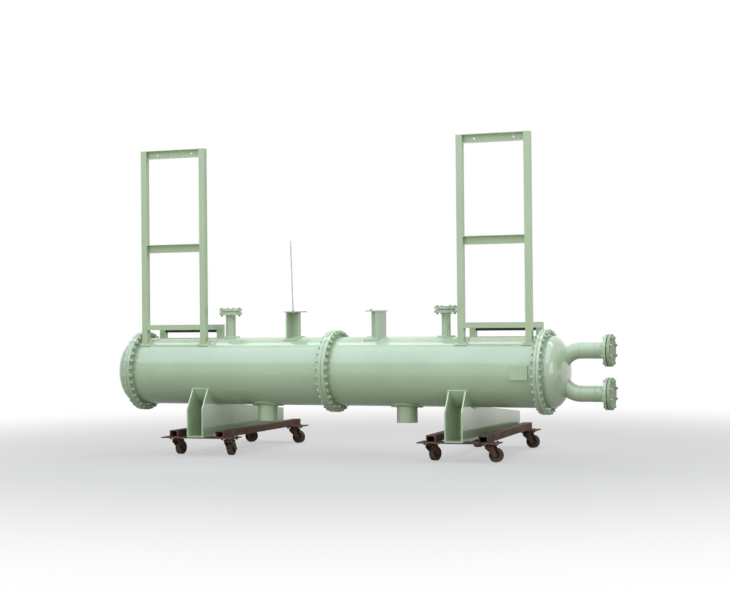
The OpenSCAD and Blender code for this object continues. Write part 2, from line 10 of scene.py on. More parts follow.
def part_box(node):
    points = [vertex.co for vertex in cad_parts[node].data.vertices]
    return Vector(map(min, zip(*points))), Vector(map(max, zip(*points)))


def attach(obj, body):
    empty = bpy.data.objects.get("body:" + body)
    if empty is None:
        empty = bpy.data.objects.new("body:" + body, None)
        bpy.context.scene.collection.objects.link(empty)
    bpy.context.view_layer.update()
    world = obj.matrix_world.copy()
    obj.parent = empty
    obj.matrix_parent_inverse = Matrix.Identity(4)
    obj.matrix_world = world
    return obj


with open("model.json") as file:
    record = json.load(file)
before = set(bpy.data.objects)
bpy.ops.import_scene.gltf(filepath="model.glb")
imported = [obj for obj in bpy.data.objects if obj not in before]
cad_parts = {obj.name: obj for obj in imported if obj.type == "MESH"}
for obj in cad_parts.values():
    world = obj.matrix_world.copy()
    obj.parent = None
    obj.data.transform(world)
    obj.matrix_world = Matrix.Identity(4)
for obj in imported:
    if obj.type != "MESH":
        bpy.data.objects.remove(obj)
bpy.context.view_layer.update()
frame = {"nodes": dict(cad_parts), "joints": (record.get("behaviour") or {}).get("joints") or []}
MM = 0.001
ROOT = "exchanger"
rng = random.Random(7)

# Places read from the frame
left_low, left_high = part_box("left_shell")
sheet_low, sheet_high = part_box("tube_sheet")
REAR_X = left_low.x
MID_X = left_high.x
CHANNEL_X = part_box("right_shell")[1].x
AXIS_Y = (left_low.y + left_high.y) / 2
AXIS_Z = (left_low.z + left_high.z) / 2
SHEET_RIM = 6 * MM
SHELL_R = (sheet_high.z - sheet_low.z) / 2 - SHEET_RIM

# Sizes of the solids that the bolts, gaskets and weld beads meet
HALF_GAP = 1.5 * MM
MID_FLANGE_T = 25 * MM
END_FLANGE_T = 20 * MM
DOME_SEAM = 26 * MM
PAD_T = 8 * MM
PAD_R = SHELL_R + PAD_T
COVER_LAP = 1 * MM
HEAD_PIPE_R = 57 * MM
NECK_SEAM, BEND_SEAM = 70 * MM, 196 * MM
TOP_PIPE_R = {"left": 38 * MM, "right": 33 * MM}
TOP_PAD_RIM = 32 * MM
BOTTOM_PIPE_R = 78 * MM

# Bolts and gaskets of the three joints of the shell
FACE_RIM, BOLTS_OUT, SEAL_OUT = 16 * MM, 15 * MM, 44 * MM
GIRTH_BOLTS = 32
GIRTH_BOLT_R = SHELL_R + FACE_RIM + BOLTS_OUT
GIRTH_FLATS = 28 * MM
GIRTH_SEAL_R = SHELL_R + SEAL_OUT
SEAL_SHARE = 0.8

# Nozzle joints: flange, gap to the cover, raised face, bolt circle, bolts, their width over the flats,
# and what is on the flange's side and on the cover's side
HEAD_JOINT = dict(flange_t=20 * MM, gap=7 * MM, face_r=79 * MM, bolt_r=95 * MM, count=8, flats=19 * MM,
                  kinds=("stud", "stud"))
TOP_JOINT = dict(flange_t=22 * MM, gap=5 * MM, face_r=57 * MM, bolt_r=70 * MM, count=4, flats=16 * MM,
                 kinds=("stud", "bolt"))
SEAL_BACK, SEAL_AHEAD = 0.5 * MM, 1.5 * MM

# Weld beads: along a seam and in a corner, and how far their middle stands off the surface
SEAM_R = 2.5 * MM
FILLET_R = 3.5 * MM
LIFT = 1 * MM

# Edges that turn by more stay sharp, and points that are closer become one
SHARP_ANGLE = math.radians(38)
SAME_PLACE = 0.001 * MM


class Builder:
    """Collects vertices and faces of one joined mesh."""

    def __init__(self):
        self.verts = []
        self.faces = []

    def rings(self, rings, matrix=None, closed=False):
        """Skins rings of equal size. A closed skin leads back to its first ring, any other gets two caps."""
        if closed:
            rings = rings + [rings[0]]
        n = len(rings[0])
        start = len(self.verts)
        for ring in rings:
            for point in ring:
                point = Vector(point)
                self.verts.append(matrix @ point if matrix else point)
        for j in range(len(rings) - 1):
            row, following = start + j * n, start + (j + 1) * n
            for i in range(n):
                k = (i + 1) % n
                self.faces.append([row + i, row + k, following + k, following + i])
        if not closed:
            last = start + (len(rings) - 1) * n
            self.faces.append([start + i for i in reversed(range(n))])
            self.faces.append([last + i for i in range(n)])

    def lathe(self, profile, sides, matrix=None, closed=False):
        """Turns (radius, height) points round Z."""
        turns = [2 * math.pi * i / sides for i in range(sides)]
        rings = [[(r * math.cos(a), r * math.sin(a), z) for a in turns] for r, z in profile]
        self.rings(rings, matrix, closed)

    def piece(self, name, material, body=ROOT, slot=None):
        """Makes what was collected one piece that rides on a body."""
        mesh = bpy.data.meshes.new(name)
        mesh.from_pydata(self.verts, [], self.faces)
        mesh.validate()
        work = bmesh.new()
        work.from_mesh(mesh)
        bmesh.ops.remove_doubles(work, verts=work.verts, dist=SAME_PLACE)
        bmesh.ops.recalc_face_normals(work, faces=work.faces)
        work.to_mesh(mesh)
        work.free()
        mesh.materials.append(material)
        for face in mesh.polygons:
            face.use_smooth = True
        mesh.set_sharp_from_angle(angle=SHARP_ANGLE)
        piece = bpy.data.objects.new(name, mesh)
        bpy.context.scene.collection.objects.link(piece)
        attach(piece, body)


def along(axis, origin=(0, 0, 0)):
    """A matrix that turns +Z to the given axis and moves to the origin."""
    turn = Vector((0, 0, 1)).rotation_difference(Vector(axis)).to_matrix().to_4x4()
    return Matrix.Translation(Vector(origin)) @ turn


# Bolts, nuts and washers

# Shares of a nut's corners and face, of a stud's radius and of a washer
NUT_CHAMFER, NUT_DIP, NUT_FACE = 0.6, 0.1, 0.99
THREAD_PITCH, THREAD_ROOT, THREAD_END = 0.28, 0.9, 0.78
WASHER_EDGE, WASHER_TOP = 0.8, 0.97

# Sides of turned parts, a radius so small that its ring becomes one point, and the shank in a joint
THREAD_SIDES, WASHER_SIDES = 12, 20
TIP_R = 0.0005 * MM
SHANK_BACK, SHANK_AHEAD = 1.2 * MM, 8 * MM

# Shares of a fastener's width over its flats
WASHER_T, WASHER_R, WASHER_HOLE = 0.10, 0.60, 0.36
NUT_H, HEAD_H, STUD_R = 0.50, 0.36, 0.31
STUD_REACH = (0.10, 0.24)


def nut(build, matrix, flats, height):
    """Hexagon nut with chamfered corners, seated on z = 0."""
    half = flats / 2
    corner = half / math.cos(math.radians(30))
    drop = (corner - half) * NUT_CHAMFER
    dip, face = drop * NUT_DIP, half * NUT_FACE

    def ring(z_corner, z_flat, r_corner, r_flat):
        """Points at the corners and in the middle of the flats by turns."""
        points = []
        for i in range(12):
            a = math.radians(30 * i)
            r, z = (r_corner, z_corner) if i % 2 == 0 else (r_flat, z_flat)
            points.append((r * math.cos(a), r * math.sin(a), z))
        return points

    build.rings([ring(0, 0, half, face), ring(drop, dip, corner, half),
                 ring(height - drop, height - dip, corner, half), ring(height, height, half, face)], matrix)


def stud_end(build, matrix, radius, length):
    """Threaded end of a stud: a rod with fine grooves and a chamfer."""
    pitch = radius * THREAD_PITCH
    profile = [(TIP_R, 0)]
    z = 0.0
    while z < length - 2 * pitch:
        profile += [(radius, z), (radius * THREAD_ROOT, z + pitch / 2)]
        z += pitch
    profile += [(radius, length - pitch), (radius * THREAD_END, length), (TIP_R, length)]
    build.lathe(profile, THREAD_SIDES, matrix)


def washer(build, matrix, radius, hole, thick):
    """Flat washer with a chamfered upper edge."""
    build.lathe([(hole, 0), (radius, 0), (radius, thick * WASHER_EDGE), (radius * WASHER_TOP, thick),
                 (hole, thick)], WASHER_SIDES, matrix, closed=True)


def fastener(build, place, axis, flats, kind="stud"):
    """Washer with a nut on a stud end, or with a low bolt head, seated at a place and along an axis."""
    seat = along(axis, place) @ Matrix.Rotation(rng.uniform(0, math.pi / 3), 4, "Z")
    thick = flats * WASHER_T
    washer(build, seat, flats * WASHER_R, flats * WASHER_HOLE, thick)
    on_top = seat @ Matrix.Translation((0, 0, thick))
    if kind == "stud":
        nut(build, on_top, flats, flats * NUT_H)
        stud_end(build, on_top @ Matrix.Translation((0, 0, flats * NUT_H)), flats * STUD_R,
                 flats * rng.uniform(*STUD_REACH))
    else:
        nut(build, on_top, flats, flats * HEAD_H)


def circle_places(centre, axis, radius, count, start=0.0):
    """Places spread round an axis, the first one a given angle from straight up or from +X."""
    axis = Vector(axis).normalized()
    first = Vector((1, 0, 0)) if abs(axis.z) > 0.9 else Vector((0, 0, 1))
    other = axis.cross(first)
    angles = [start + 2 * math.pi * i / count for i in range(count)]
    return [Vector(centre) + (first * math.cos(a) + other * math.sin(a)) * radius for a in angles]


def flange_bolts(build, centre, axis, radius, count, back, ahead, flats, kinds):
    """Bolts round a flange joint. back and ahead are the distances from the joint to the two outer faces."""
    axis = Vector(axis).normalized()
    for place in circle_places(centre, axis, radius, count, math.pi / count):
        fastener(build, place - axis * back, -axis, flats, kinds[0])
        fastener(build, place + axis * ahead, axis, flats, kinds[1])
        # The part of the shank that shows in the joint
        shank_r = flats * STUD_R
        build.lathe([(shank_r, -SHANK_BACK), (shank_r, SHANK_AHEAD)], THREAD_SIDES, along(axis, place))


# Weld beads and lines that they follow

# A bead's ripple length and unevenness, as shares of its radius
BEAD_SIDES = 7
BEAD_PITCH, BEAD_UNEVEN = 1.3, 0.05

# Steps round the rings and arcs that beads follow, and the length of a step elsewhere
RING_STEPS, GIRTH_STEPS, CUP_STEPS, BOTTOM_STEPS = 120, 240, 90, 160
SADDLE_STEPS, BRACKET_STEPS = 90, 40
LINE_STEP, ARC_STEP = 4 * MM, 6 * MM


def bead(build, points, radius, closed=False, ripple=0.12):
    """A weld bead: a rippled tube along a line of points."""
    points = [Vector(p) for p in points]
    n = len(points)
    turns = [2 * math.pi * k / BEAD_SIDES for k in range(BEAD_SIDES)]
    pitch = radius * BEAD_PITCH
    rings = []
    normal = None
    travelled = 0.0
    for i in range(n):
        ahead = points[(i + 1) % n] if closed or i < n - 1 else points[i]
        behind = points[i - 1] if closed or i > 0 else points[i]
        tangent = (ahead - behind).normalized()
        if i:
            travelled += (points[i] - points[i - 1]).length
        if normal is None:
            normal = tangent.orthogonal().normalized()
        normal = (normal - tangent * normal.dot(tangent)).normalized()
        across = tangent.cross(normal)
        wave = ripple * math.sin(2 * math.pi * travelled / pitch)
        r = radius * (1 + wave + rng.uniform(-BEAD_UNEVEN, BEAD_UNEVEN))
        rings.append([points[i] + normal * r * math.cos(a) + across * r * math.sin(a) for a in turns])
    build.rings(rings, closed=closed)


def line_points(a, b, step=LINE_STEP):
    """Points along a straight line."""
    a, b = Vector(a), Vector(b)
    n = max(2, int((b - a).length / step))
    return [a.lerp(b, i / n) for i in range(n + 1)]


def shell_point(x, angle, radius):
    """A point round the shell's axis. angle is from the top, positive towards the back."""
    return Vector((x, AXIS_Y + radius * math.sin(angle), AXIS_Z + radius * math.cos(angle)))


def arc_points(x, a0, a1, radius, n):
    """Points round the shell from one angle to another."""
    return [shell_point(x, a0 + (a1 - a0) * i / n, radius) for i in range(n + 1)]


def ring_on_shell(x, radius, shell_radius, up=1, n=CUP_STEPS):
    """Where an upright cylinder of this radius meets the shell."""
    points = []
    for i in range(n):
        a = 2 * math.pi * i / n
        y = radius * math.sin(a)
        z = math.sqrt(shell_radius ** 2 - y ** 2)
        points.append((x + radius * math.cos(a), AXIS_Y + y, AXIS_Z + up * z))
    return points


def pad_outline(x0, x1, a0, a1, radius):
    """The edge of a curved pad between two places along the shell and two angles from the top."""
    arc = max(6, int(abs(a1 - a0) * radius / ARC_STEP))
    points = arc_points(x0, a0, a1, radius, arc)
    points += line_points(shell_point(x0, a1, radius), shell_point(x1, a1, radius))[1:-1]
    points += arc_points(x1, a1, a0, radius, arc)
    points += line_points(shell_point(x1, a0, radius), shell_point(x0, a0, radius))[1:-1]
    return points


def foot_outline(x0, x1, y0, y1, radius, steps=10):
    """Where an upright bar of this plan meets a curved pad."""
    corners = [(x0, y0), (x1, y0), (x1, y1), (x0, y1), (x0, y0)]
    points = []
    for (xa, ya), (xb, yb) in zip(corners, corners[1:]):
        for i in range(steps):
            x, y = xa + (xb - xa) * i / steps, ya + (yb - ya) * i / steps
            points.append((x, AXIS_Y + y, AXIS_Z + math.sqrt(radius ** 2 - y ** 2)))
    return points


# Node trees and materials


def srgb(r, g, b):
    """Linear colour of an sRGB colour given from 0 to 255."""
    return tuple((c / 255 / 12.92) if c / 255 <= 0.04045 else ((c / 255 + 0.055) / 1.055) ** 2.4
                 for c in (r, g, b))


def tint(colour, share):
    """The colour made lighter or darker."""
    return tuple(c * share for c in colour)


DUST, SPECK, WORN = srgb(178, 184, 164), srgb(104, 104, 88), srgb(198, 198, 168)
BROWN_RUST, DULL_RUST, BLOOM = srgb(92, 70, 60), srgb(104, 78, 64), srgb(128, 84, 58)
OLD_OIL, BARE_STEEL, DARK_TOP = srgb(48, 40, 38), srgb(128, 112, 102), srgb(58, 49, 44)
TREAD_DARK, TREAD_MID, TREAD_PALE = srgb(52, 44, 40), srgb(80, 67, 60), srgb(122, 104, 92)
FLOOR_DUST = srgb(120, 110, 98)
RUBBER_DARK, RUBBER_PALE = srgb(16, 17, 16), srgb(40, 42, 40)
ZINC_DARK, ZINC_PALE = srgb(150, 152, 150), srgb(206, 208, 204)

# How strongly each mark shows: on paint, on rust and on the wheels
FINE_DRIFT, RUNS, SPECKS = 0.35, 0.16, 0.18
STAIN_WAVE, STAIN_SOFT, STAIN_ROUGH = 50 * MM, 25 * MM, 0.7
ROUGH_DRIFT, WEAR_ROUGH, COAT_ROUGH = 0.08, 0.5, 0.04
BLOOMS, OILY_TOPS = 0.55, 0.45
TREAD_DUST, DUST_HEIGHT = 0.35, 60 * MM


class Tree:
    """Short calls for building a node tree."""

    def __init__(self, tree):
        self.tree = tree

    def new(self, kind, **settings):
        """Adds a node and sets its properties."""
        node = self.tree.nodes.new(kind)
        for key, value in settings.items():
            setattr(node, key, value)
        return node

    def link(self, a, b):
        """Links an output to an input."""
        self.tree.links.new(a, b)

    def feed(self, socket, value):
        """Sets a socket to a number or a colour, or links another node's output to it."""
        if isinstance(value, (int, float)):
            socket.default_value = value
        elif isinstance(value, tuple):
            socket.default_value = (*value, 1)
        else:
            self.link(value, socket)

    def math(self, operation, a, b):
        """Works out one value from two, each a number or an output."""
        node = self.new("ShaderNodeMath", operation=operation)
        self.feed(node.inputs[0], a)
        self.feed(node.inputs[1], b)
        return node.outputs["Value"]

    def times(self, a, b):
        """a times b."""
        return self.math("MULTIPLY", a, b)

    def plus(self, a, b):
        """a plus b."""
        return self.math("ADD", a, b)

    def ramp(self, value, stops):
        """Colours or grey levels by a value. Each stop is a position and a colour or a level."""
        node = self.new("ShaderNodeValToRGB")
        elements = node.color_ramp.elements
        while len(elements) < len(stops):
            elements.new(0.5)
        for element, (position, colour) in zip(elements, stops):
            element.position = position
            element.color = (*colour, 1) if isinstance(colour, tuple) else (colour, colour, colour, 1)
        self.link(value, node.inputs["Fac"])
        return node.outputs["Color"]

    def upward(self, vector):
        """The Z part of a vector."""
        node = self.new("ShaderNodeSeparateXYZ")
        self.link(vector, node.inputs["Vector"])
        return node.outputs["Z"]

    def step(self, value, low, high):
        """0 where the value is below low, rising to 1 where it is above high."""
        return self.ramp(value, [(low, 0), (high, 1)])

    def blend(self, factor, a, b):
        """A shader between two shaders."""
        node = self.new("ShaderNodeMixShader")
        self.link(factor, node.inputs["Fac"])
        self.link(a, node.inputs[1])
        self.link(b, node.inputs[2])
        return node.outputs["Shader"]

    def mirror_rays(self, path):
        """1 for mirror and glass rays."""
        return self.math("MAXIMUM", path.outputs["Is Glossy Ray"], path.outputs["Is Transmission Ray"])


class Surface(Tree):
    """A material made from nodes."""

    SOCKETS = {"colour": "Base Color", "rough": "Roughness", "metal": "Metallic",
               "specular": "Specular IOR Level", "coat": "Coat Weight", "coat_rough": "Coat Roughness"}

    def __init__(self, name):
        self.material = bpy.data.materials.new(name)
        self.material.use_nodes = True
        super().__init__(self.material.node_tree)
        self.shader = self.tree.nodes["Principled BSDF"]
        self.place = self.new("ShaderNodeTexCoord").outputs["Object"]

    def set(self, **values):
        """Sets the shader's inputs by their short names."""
        for key, value in values.items():
            self.feed(self.shader.inputs[self.SOCKETS[key]], value)

    def noise(self, scale, detail, rough, stretch=None, distortion=0.0):
        """Cloudy noise from 0 to 1. stretch makes its spots longer along an axis that gets less than 1."""
        node = self.new("ShaderNodeTexNoise")
        node.inputs["Scale"].default_value = scale
        node.inputs["Detail"].default_value = detail
        node.inputs["Roughness"].default_value = rough
        node.inputs["Distortion"].default_value = distortion
        place = self.place
        if stretch:
            mapping = self.new("ShaderNodeMapping")
            mapping.inputs["Scale"].default_value = stretch
            self.link(place, mapping.inputs["Vector"])
            place = mapping.outputs["Vector"]
        self.link(place, node.inputs["Vector"])
        return node.outputs["Fac"]

    def up(self):
        """How far the surface faces up, from -1 to 1."""
        return self.upward(self.new("ShaderNodeNewGeometry").outputs["Normal"])

    def away(self, centre):
        """Distance from a point."""
        node = self.new("ShaderNodeVectorMath", operation="DISTANCE")
        node.inputs[1].default_value = centre
        self.link(self.place, node.inputs[0])
        return node.outputs["Value"]

    def mix(self, factor, a, b):
        """A colour between two colours."""
        node = self.new("ShaderNodeMix", data_type="RGBA")
        self.feed(node.inputs["Factor"], factor)
        self.feed(node.inputs["A"], a)
        self.feed(node.inputs["B"], b)
        return node.outputs["Result"]

    def bump(self, value, strength, distance):
        """Adds a bump over those that are there already."""
        node = self.new("ShaderNodeBump")
        node.inputs["Strength"].default_value = strength
        node.inputs["Distance"].default_value = distance
        self.link(value, node.inputs["Height"])
        previous = self.shader.inputs["Normal"]
        if previous.is_linked:
            self.link(previous.links[0].from_socket, node.inputs["Normal"])
        self.link(node.outputs["Normal"], previous)


def paint(name, base, rough=0.16, dust=0.25, stain=None, gloss=0.5):
    """Sprayed gloss paint with slight colour drift, orange peel, dust on top and faint run marks.

    stain is (centre, inner radius, outer radius, strength) of a pale worn patch."""
    m = Surface(name)
    drift = m.ramp(m.noise(scale=2.2, detail=4, rough=0.6),
                   [(0.30, tint(base, 0.91)), (0.5, base), (0.72, tint(base, 1.07))])
    fine = m.ramp(m.noise(scale=60, detail=3, rough=0.6), [(0.3, tint(base, 0.96)), (0.7, base)])
    colour = m.mix(FINE_DRIFT, drift, fine)
    runs = m.step(m.noise(scale=9, detail=5, rough=0.6, stretch=(1, 1, 0.10)), 0.52, 0.74)
    colour = m.mix(m.times(runs, RUNS), colour, tint(base, 0.80))
    patches = m.step(m.noise(scale=14, detail=5, rough=0.65), 0.40, 0.66)
    settled = m.times(m.times(m.step(m.up(), 0.55, 0.98), patches), dust)
    colour = m.mix(settled, colour, DUST)
    specks = m.step(m.noise(scale=230, detail=2, rough=0.5), 0.70, 0.76)
    colour = m.mix(m.times(specks, SPECKS), colour, SPECK)
    wear = settled
    if stain:
        centre, inner, outer, strength = stain
        edge = m.plus(m.away(centre), m.times(m.noise(scale=26, detail=5, rough=0.7), STAIN_WAVE))
        worn = m.ramp(m.math("DIVIDE", edge, outer + STAIN_SOFT), [(inner / outer, 1), (1.0, 0)])
        thin = m.ramp(m.noise(scale=34, detail=5, rough=0.7), [(0.30, 0.45), (0.62, 1)])
        worn = m.times(worn, thin)
        colour = m.mix(m.times(worn, strength), colour, WORN)
        wear = m.plus(settled, m.times(worn, strength * STAIN_ROUGH))
    uneven = m.plus(m.times(m.noise(scale=26, detail=4, rough=0.6), ROUGH_DRIFT), rough - ROUGH_DRIFT / 2)
    m.set(colour=colour, rough=m.plus(uneven, m.times(wear, WEAR_ROUGH)))
    m.set(coat=gloss, coat_rough=COAT_ROUGH, specular=min(0.5, gloss + 0.1))
    m.bump(m.noise(scale=170, detail=2, rough=0.5), strength=0.03, distance=0.6 * MM)
    m.bump(m.noise(scale=5, detail=2, rough=0.5), strength=0.05, distance=4 * MM)
    return m.material


def rusty_iron(name):
    """Old bare steel: brown rust scale with orange blooms, darker on its upward faces."""
    m = Surface(name)
    scale = m.ramp(m.noise(scale=9, detail=6, rough=0.65),
                   [(0.30, OLD_OIL), (0.48, BROWN_RUST), (0.66, DULL_RUST), (0.80, BARE_STEEL)])
    blooms = m.step(m.noise(scale=30, detail=6, rough=0.7, distortion=0.6), 0.50, 0.68)
    colour = m.mix(m.times(blooms, BLOOMS), scale, BLOOM)
    colour = m.mix(m.times(m.step(m.up(), 0.5, 0.95), OILY_TOPS), colour, DARK_TOP)
    m.set(colour=colour, metal=0.15, specular=0.22, rough=m.plus(m.times(blooms, 0.2), 0.66))
    m.bump(m.noise(scale=120, detail=5, rough=0.7), strength=0.5, distance=1.2 * MM)
    m.bump(m.noise(scale=28, detail=4, rough=0.6), strength=0.35, distance=2 * MM)
    return m.material


def worn_rubber(name):
    """Worn dark tread with floor dust near the ground."""
    m = Surface(name)
    tread = m.ramp(m.noise(scale=40, detail=5, rough=0.65),
                   [(0.3, TREAD_DARK), (0.6, TREAD_MID), (0.8, TREAD_PALE)])
    near_floor = m.ramp(m.upward(m.place), [(0.0, 1), (DUST_HEIGHT, 0)])
    m.set(colour=m.mix(m.times(near_floor, TREAD_DUST), tread, FLOOR_DUST), rough=0.82, specular=0.3)
    m.bump(m.noise(scale=260, detail=3, rough=0.6), strength=0.35, distance=0.6 * MM)
    return m.material


def black_rubber(name):
    """Dull black rubber of the gaskets, also used for the black strips under the frames' base bars."""
    m = Surface(name)
    shade = m.ramp(m.noise(scale=50, detail=4, rough=0.6), [(0.3, RUBBER_DARK), (0.8, RUBBER_PALE)])
    m.set(colour=shade, rough=0.7)
    m.bump(m.noise(scale=200, detail=3, rough=0.5), strength=0.2, distance=0.4 * MM)
    return m.material


def zinc(name):
    """Zinc plated thread, slightly dulled."""
    m = Surface(name)
    shade = m.ramp(m.noise(scale=60, detail=4, rough=0.6), [(0.3, ZINC_DARK), (0.8, ZINC_PALE)])
    dull = m.times(m.noise(scale=80, detail=3, rough=0.6), 0.2)
    m.set(colour=shade, metal=0.6, rough=m.plus(dull, 0.3))
    return m.material


GREEN = paint("sage_paint", srgb(161, 180, 148))
GREEN_BOLTS = paint("sage_paint_on_bolts", srgb(157, 177, 145), rough=0.26, dust=0.12)
GREEN_FRAME = paint("sage_paint_on_frames", srgb(160, 178, 142), rough=0.34, dust=0.2)
# The saddles' paint is a lighter copy of the sage paint. The lightening is painted light for the glow that
# their webs, in shade under the shell, get from the ground. The heavier dust on upward faces is dust.
GREEN_SADDLE_LIGHTENED = paint("sage_paint_lightened_on_saddles", srgb(170, 189, 154), rough=0.12, dust=0.4, gloss=0.8)
RUST = rusty_iron("rust_scale")
TREAD = worn_rubber("worn_tread")
BLACK = black_rubber("black_rubber")
ZINC = zinc("zinc_plate")
GASKET = paint("painted_gasket", srgb(116, 130, 106), rough=0.6)


def blind_paint(name):
    """Paint of a nozzle cover with a worn patch in the middle of its outer face."""
    low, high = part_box(name)
    centre = (high.x, (low.y + high.y) / 2, (low.z + high.z) / 2)
    return paint("sage_paint_on_" + name, srgb(147, 163, 134), rough=0.55,
                 stain=(centre, 34 * MM, 66 * MM, 0.4), gloss=0.05)


def dome_paint():
    """Paint of the channel head with dull pale overspray between its nozzles."""
    centre = (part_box("channel_head")[1].x, AXIS_Y, AXIS_Z)
    return paint("sage_paint_on_dome", srgb(170, 186, 156), rough=0.10,
                 stain=(centre, 90 * MM, 240 * MM, 0.3), gloss=0.9)


def node_material(name):
    """The material of a solid, by its name."""
    if "ladder" in name or "frame_pads" in name:
        return GREEN_FRAME
    if "saddle" in name:
        return GREEN_SADDLE_LIGHTENED
    if "dolly" in name or name.startswith("fork"):
        return RUST
    if name.startswith("wheel"):
        return TREAD
    if name.endswith("_nozzle_blind"):
        return blind_paint(name)
    if name == "channel_head":
        return dome_paint()
    return GREEN


for name, node in frame["nodes"].items():
    material = node_material(name)
    node.data.materials.clear()
    node.data.materials.append(material)


# Flange joints

SEAL_INSIDE, SEAL_OUTSIDE, SEAL_CHAMFER, SEAL_STEPS = 1 * MM, 3 * MM, 0.4 * MM, 96


def gasket(build, centre, axis, face_r, low, high):
    """Outer edge of a gasket, a little wider than the radius that it is given."""
    inner, outer = face_r - SEAL_INSIDE, face_r + SEAL_OUTSIDE
    build.lathe([(inner, low), (outer - SEAL_CHAMFER, low), (outer, low + SEAL_CHAMFER),
                 (outer, high - SEAL_CHAMFER), (outer - SEAL_CHAMFER, high), (inner, high)], SEAL_STEPS,
                along(axis, centre), closed=True)


def girth_joint(name, x, flange_t, kinds):
    """Bolts and gasket edge of one joint of the shell."""
    centre, axis = (x, AXIS_Y, AXIS_Z), (1, 0, 0)
    reach, seal = HALF_GAP + flange_t, HALF_GAP * SEAL_SHARE
    bolts = Builder()
    flange_bolts(bolts, centre, axis, GIRTH_BOLT_R, GIRTH_BOLTS, reach, reach, GIRTH_FLATS, kinds)
    bolts.piece(name + "_joint_bolts", GREEN_BOLTS)
    edge = Builder()
    gasket(edge, centre, axis, GIRTH_SEAL_R, -seal, seal)
    edge.piece(name + "_gasket_edge", GASKET)


def nozzle_joint(name, centre, axis, flange_t, gap, face_r, bolt_r, count, flats, kinds):
    """Bolts and gasket edge between a nozzle flange and its cover."""
    bolts = Builder()
    flange_bolts(bolts, centre, axis, bolt_r, count, flange_t, gap + flange_t, flats, kinds)
    bolts.piece(name + "_bolts", GREEN_BOLTS)
    edge = Builder()
    gasket(edge, centre, axis, face_r, SEAL_BACK, gap - SEAL_AHEAD)
    edge.piece(name + "_gasket", BLACK)


def head_joint_place(side):
    """The middle of the outer face of a head nozzle's flange."""
    low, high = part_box(side + "_nozzle_blind")
    return low.x + COVER_LAP, AXIS_Y, (low.z + high.z) / 2


girth_joint("rear", REAR_X, END_FLANGE_T, ("bolt", "stud"))
girth_joint("middle", MID_X, MID_FLANGE_T, ("stud", "stud"))
girth_joint("channel", CHANNEL_X, END_FLANGE_T, ("stud", "bolt"))
for side in ("upper", "lower"):
    nozzle_joint(side + "_head_nozzle", head_joint_place(side), (1, 0, 0), **HEAD_JOINT)
for side in ("left", "right"):
    low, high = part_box(side + "_top_blind")
    nozzle_joint(side + "_top_nozzle", ((low.x + high.x) / 2, AXIS_Y, low.z), (0, 0, 1), **TOP_JOINT)


# Welds of the shell, nozzles, ladder frames, brackets and saddles

# Shares of the usual bead radius
FINE, THIN = 0.7, 0.8

# Sizes of the ladder frames' solids, and where the beads of their bars start
POST, FRAME_FRONT = 46 * MM, 162 * MM
FOOT_LENGTH, FOOT_RIM = 92 * MM, 12 * MM
BAR_H, BAR_D, BASE_BAR_H, BASE_BAR_D = 62 * MM, 38 * MM, 38 * MM, 40 * MM
MID_BAR_TOP, BASE_BAR_TOP = 968 * MM, 353 * MM
BAR_WELD_IN = 2 * MM

# Sizes of the top brackets' solids, and half the width of the bead under their upright plate
BRACKET_HALF, BRACKET_PAD_RIM, BRACKET_WELD_HALF = 107 * MM, 10 * MM, 99 * MM
BRACKET_TOP_HALF, BRACKET_EDGE, BRACKET_TOP_T, BRACKET_PLATE_T = 46 * MM, 8 * MM, 8 * MM, 12 * MM

# Sizes of the saddles' solids, and how far the beads of their webs stay from the ends
SADDLE_WRAP, SADDLE_PAD_WRAP = math.radians(60), math.radians(61)
SADDLE_PAD_T, SADDLE_PLATE_T = 10 * MM, 10 * MM
SADDLE_R = SHELL_R + SADDLE_PAD_T
WEB_WELD_FRONT, WEB_WELD_BACK, WEB_STEP = 2 * MM, 12 * MM, 8 * MM


def shell_welds():
    """Beads where the girth flanges meet the shell and the heads, and along the seams of the heads."""
    build = Builder()
    for x, way, flange_t in ((REAR_X, 1, END_FLANGE_T), (MID_X, -1, MID_FLANGE_T), (MID_X, 1, MID_FLANGE_T),
                             (CHANNEL_X, -1, END_FLANGE_T)):
        place = (x + way * (HALF_GAP + flange_t + LIFT), AXIS_Y, AXIS_Z)
        bead(build, circle_places(place, (1, 0, 0), SHELL_R + LIFT, GIRTH_STEPS), FILLET_R, closed=True)
    for x, way in ((REAR_X, -1), (CHANNEL_X, 1)):
        for out in (HALF_GAP + END_FLANGE_T + LIFT, HALF_GAP + END_FLANGE_T + DOME_SEAM):
            place = (x + way * out, AXIS_Y, AXIS_Z)
            bead(build, circle_places(place, (1, 0, 0), SHELL_R, GIRTH_STEPS), SEAM_R, closed=True)
    build.piece("shell_welds", GREEN)


